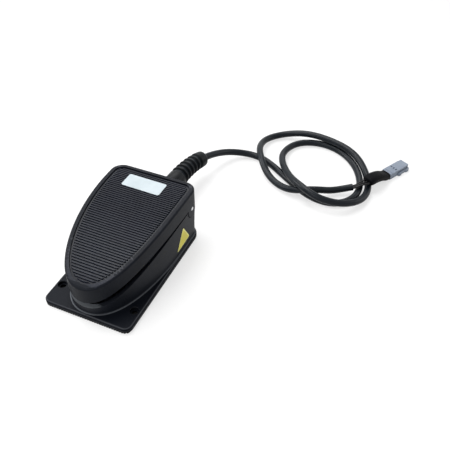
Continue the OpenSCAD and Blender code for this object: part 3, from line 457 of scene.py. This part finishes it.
def boot_profile():
    """The boot's outline as (distance from the gland, radius)."""
    out = [(d, boot_r(0) - under) for d, under in FACE_LIP]
    out += [(COLLAR - d, boot_r(COLLAR) - under) for d, under in COLLAR_LIP]
    for k in range(FINS):
        start = COLLAR + k * PITCH
        end, r = start + PITCH, boot_r(start)
        out += [(start + d, r - DEEP + over) for d, over in GROOVE_FOOT]
        out += [(start + GROOVE - d, r - DEEP + over) for d, over in reversed(GROOVE_FOOT)]
        out += [(start + GROOVE + d, r - under) for d, under in FIN_LIP]
        if k < FINS - 1:
            out += [(end - d, r - under) for d, under in reversed(FIN_LIP)]
    out += [(BOOT_L - d, boot_r(BOOT_L) - under) for d, under in NOSE]
    return out + [(BOOT_L - 0.02, CABLE_D / 2 + 0.15)]


boot_rings = [ring(lead_point(s), lead_heading(s), r, r, 64) for s, r in boot_profile()]
boot = piece("cable_boot_ribbed", *skin(boot_rings), boot_rubber, "base", "black_rubber")
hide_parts("cable_boot")

# sleeve over the joint, shrunk on the rear of the plug
SLEEVE = [(174, 197, 11.8), (178, 205, 12.2), (183.3, 217, 8.2), (185.7, 222.6, 3.8),
          (188, 227, 3.7)]
PLUG_W, PLUG_H = 11.6, 7.0
PLUG_TURN = math.radians(-28)
SIDE_WALL, TOP_WALL = 0.2, 0.15             # of the sleeve over the plug
MOUTH_SHARES = (0.84, 0.93, 0.97, 0.99)     # of the full size, over the first rings
LOOSE = 0.9                                 # wider than on the plug, at the mouth
BOXY = 0.6                                  # power of the section's corners
sleeve_path = smooth_path(SLEEVE, 8)


def sleeve_ring(i):
    last = len(sleeve_path) - 1
    along = heading(sleeve_path, i)
    if i == last:
        along = Vector((-math.sin(PLUG_TURN), math.cos(PLUG_TURN), 0))
    share = MOUTH_SHARES[i] if i < len(MOUTH_SHARES) else 1.0
    wider = LOOSE * (1 - i / last) ** 0.5
    return ring(sleeve_path[i], along, share * (PLUG_W / 2 + SIDE_WALL + wider),
                share * (PLUG_H / 2 + TOP_WALL + 0.5 * wider), 48, BOXY)


sleeve_rings = [sleeve_ring(i) for i in range(len(sleeve_path))]
sleeve = piece("heat_shrink_sleeve", *skin(sleeve_rings), sleeve_black, "base", "black_rubber")
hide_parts("plug_sleeve")

# the three wires that run from the lead's end into the sleeve
WIRE_R = 0.95
START_GAP, MIDDLE_GAP, MOUTH_GAP = 1.9, 2.6, 3      # from wire to wire, along the way
MIDDLE_RISE, STRAIGHT = 1.2, 4


def wire_path(i):
    """Middle line of wire -1, 0 or 1."""
    a, b = lead[-1], sleeve_path[0]
    out_of_lead, into_sleeve = lead_heading(lead_lengths[-1]), heading(sleeve_path, 0)
    start = a + sideways(out_of_lead) * START_GAP * i
    middle = (a + b) / 2 + sideways(out_of_lead) * MIDDLE_GAP * i + Vector((0, 0, MIDDLE_RISE))
    mouth = b + sideways(into_sleeve) * MOUTH_GAP * i
    return smooth_path([start - out_of_lead * 0.5, start + STRAIGHT * out_of_lead, middle,
                        mouth - STRAIGHT * into_sleeve, mouth + into_sleeve], 6)


wire_vertices, wire_faces = [], []
for i in (-1, 0, 1):
    path = wire_path(i)
    vertices, faces = skin([ring(p, heading(path, j), WIRE_R, WIRE_R, 16)
                            for j, p in enumerate(path)])
    wire_faces += [tuple(len(wire_vertices) + k for k in f) for f in faces]
    wire_vertices += vertices
wires = piece("joint_wires", wire_vertices, wire_faces, insulation, "base", "wire_insulation")
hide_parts("plug_wires")


# ---------------------------------------------------------------- blank sticker

CORNERS = [(35.6, 33.5), (47.6, 13.2), (23.9, 11.4)]    # (y, z) on the housing's right wall
CENTRE = (sum(c[0] for c in CORNERS) / 3, sum(c[1] for c in CORNERS) / 3)
INNER = 0.86                                # size of the field within the paler rim
FOOT, THICK = 0.01, 0.10                    # of the film, off the wall


def outwards(point, scale):
    return tuple(CENTRE[i] + scale * (point[i] - CENTRE[i]) for i in (0, 1))


def between(a, b, share):
    return [a[i] + (b[i] - a[i]) * share for i in (0, 1)]


def sticker_outline(scale, round_by):
    """Triangle with rounded corners, with points along its straight edges as well."""
    out = []
    for k in range(3):
        p, a, b = [outwards(CORNERS[j], scale) for j in (k, k - 1, (k + 1) % 3)]
        start = between(p, a, round_by / math.dist(p, a))
        end = between(p, b, round_by / math.dist(p, b))
        following = between(b, p, round_by / math.dist(p, b))
        for step in range(9):
            f = step / 8
            out.append([
                (1 - f) ** 2 * start[i] + 2 * f * (1 - f) * p[i] + f * f * end[i]
                for i in (0, 1)
            ])
        out += [between(end, following, step / 10) for step in range(1, 10)]
    return out


def on_wall(loop, lift):
    """The points of a loop cast at the curved wall, and lifted off it."""
    out = []
    for y, z in loop:
        _, point, _, _ = shell.ray_cast(Vector((0.07, y * MM, z * MM)), Vector((-1, 0, 0)))
        out.append(point + Vector((lift * MM, 0, 0)))
    return out


def sticker(name, loop, material, hole=None):
    """A band between two loops, or a filled face cut into strips that follow the wall,
    with its rim folded down to the wall."""
    vertices = on_wall(loop, FOOT) + on_wall(loop, THICK)
    if hole:
        vertices += on_wall(hole, THICK) + on_wall(hole, FOOT)
    else:
        for share in (0.8, 0.6, 0.4, 0.2):
            vertices += on_wall([outwards(q, share) for q in loop], THICK)
    m = len(loop)
    faces = quads(len(vertices) // m, m)
    if not hole:
        faces.append(tuple(range(len(vertices) - m, len(vertices))))
    return piece(name, vertices, faces, material, "base", "label_stock", smooth=False)


STICKER_FILM = {"rough": 0.4, "grain": 1200.0, "bump": 0.04, "cloud": 120.0, "specular": 0.2}
yellow = surface("marker_yellow", (0.62, 0.55, 0.05), (0.70, 0.62, 0.07), **STICKER_FILM)
pale_yellow = surface("marker_pale", (0.74, 0.70, 0.2), (0.80, 0.76, 0.25), **STICKER_FILM)
field = sticker_outline(INNER, 1.8)
sticker("marker_rim", sticker_outline(1.0, 2.2), pale_yellow, hole=field)
sticker("marker_field", field, yellow)


# ---------------------------------------------------------------- floor, light

SHADOW_WHITENING = 0.65                     # of the floor near the object, 1 far from it
NEAR, FAR = 0.3, 0.75                       # from the frame's origin, metres
FLOOR_HALF, FLOOR_Z = 3, -0.0001            # metres, just clear of the mat
# the floor's pale colour, and the dark colour of the painted shadow under the plate
FLOOR_PALE, FLOOR_PAINTED_SHADOW = 0.93, 0.01
WORLD_ON_OBJECT, WORLD_SEEN = 0.35, 1.0


def seen_directly(n, l):
    """1 for rays that show the background: from the camera, in gloss and through glass."""
    rays = n.new("ShaderNodeLightPath").outputs
    seen = maths(n, l, "MAXIMUM", rays["Is Camera Ray"], rays["Is Glossy Ray"])
    return maths(n, l, "MAXIMUM", seen, rays["Is Transmission Ray"])


def far_off(n, l):
    """Share of white that is mixed in: less near the object, where its shadow falls."""
    distance = n.new("ShaderNodeVectorMath")
    distance.operation = "LENGTH"
    l.new(n.new("ShaderNodeTexCoord").outputs["Object"], distance.inputs[0])
    share = add(n, "ShaderNodeMapRange", From_Min=NEAR, From_Max=FAR,
                To_Min=SHADOW_WHITENING, To_Max=1.0)
    l.new(distance.outputs["Value"], share.inputs["Value"])
    return share.outputs["Result"]


def painted_floor_shadow(n, l):
    """1 on the floor under the base plate: a painted shadow, which shows through the mounting
    holes. The patch stays within the plate's rounded corners."""
    side_in, end_in = 0.002, 0.015
    _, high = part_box("rubber_mat")
    split = n.new("ShaderNodeSeparateXYZ")
    l.new(n.new("ShaderNodeTexCoord").outputs["Object"], split.inputs["Vector"])
    inside = [
        maths(n, l, "LESS_THAN", maths(n, l, "ABSOLUTE", split.outputs[axis]), reach)
        for axis, reach in (("X", high[0] - side_in), ("Y", high[1] - end_in))
    ]
    return maths(n, l, "MULTIPLY", *inside)


def floor_finish():
    """Pale floor that goes to white for the rays that show it, with a painted shadow under the
    plate.
    """
    material = bpy.data.materials.new("floor")
    n, l, shader = links(material)
    shader.inputs["Roughness"].default_value = 0.6
    # painted shadow: the floor under the plate is dark
    shadow_patch = painted_floor_shadow(n, l)
    colour = n.new("ShaderNodeMix")
    colour.data_type = "RGBA"
    colour.inputs["A"].default_value = (FLOOR_PALE, FLOOR_PALE, FLOOR_PALE, 1)
    colour.inputs["B"].default_value = (FLOOR_PAINTED_SHADOW, FLOOR_PAINTED_SHADOW, FLOOR_PAINTED_SHADOW, 1)
    l.new(shadow_patch, colour.inputs["Factor"])
    l.new(colour.outputs["Result"], shader.inputs["Base Color"])
    shown = maths(n, l, "SUBTRACT", seen_directly(n, l), shadow_patch)
    shown.node.use_clamp = True
    whitened = n.new("ShaderNodeMixShader")
    l.new(maths(n, l, "MULTIPLY", shown, far_off(n, l)), whitened.inputs["Fac"])
    l.new(shader.outputs[0], whitened.inputs[1])
    l.new(add(n, "ShaderNodeEmission", Strength=1.0).outputs[0], whitened.inputs[2])
    l.new(whitened.outputs[0], n["Material Output"].inputs["Surface"])
    return material


floor_mesh = bpy.data.meshes.new("floor")
floor_mesh.from_pydata([
    (x * FLOOR_HALF, y * FLOOR_HALF, FLOOR_Z) for x, y in ((-1, -1), (1, -1), (1, 1), (-1, 1))
], [], [(0, 1, 2, 3)])
floor_mesh.materials.append(floor_finish())
floor = bpy.data.objects.new("floor", floor_mesh)
bpy.context.scene.collection.objects.link(floor)

world = bpy.data.worlds.new("world")
bpy.context.scene.world = world
world.use_nodes = True
n, l = world.node_tree.nodes, world.node_tree.links
strength = add(n, "ShaderNodeMapRange", To_Min=WORLD_ON_OBJECT, To_Max=WORLD_SEEN)
l.new(seen_directly(n, l), strength.inputs["Value"])
l.new(strength.outputs["Result"], n["Background"].inputs["Strength"])
n["Background"].inputs["Color"].default_value = (1, 1, 1, 1)


def lamp(name, place, target, size, watts):
    """A rectangular lamp that looks at a point."""
    data = bpy.data.lights.new(name, "AREA")
    data.shape = "RECTANGLE"
    data.size, data.size_y = size
    data.energy = watts
    obj = bpy.data.objects.new(name, data)
    obj.location = place
    aim = Vector(target) - Vector(place)
    obj.rotation_euler = aim.to_track_quat("-Z", "Y").to_euler()
    bpy.context.scene.collection.objects.link(obj)


lamp("key", (-0.45, 0.2, 1.3), (0.05, 0.05, 0.0), (0.7, 0.7), 14)
lamp("rim", (-1.1, 0.05, 0.5), (0.0, 0.0, 0.04), (0.7, 0.4), 9)
lamp("fill", (-0.35, -1.1, 0.8), (0.0, 0.0, 0.03), (0.7, 0.6), 5)
lamp("back", (-0.35, 0.95, 0.95), (0.05, 0.05, 0.03), (0.8, 0.5), 6)
lamp("side", (0.9, 0.75, 0.4), (0.05, 0.05, 0.03), (0.5, 0.4), 1.5)

bpy.context.scene.view_settings.view_transform = "Standard"
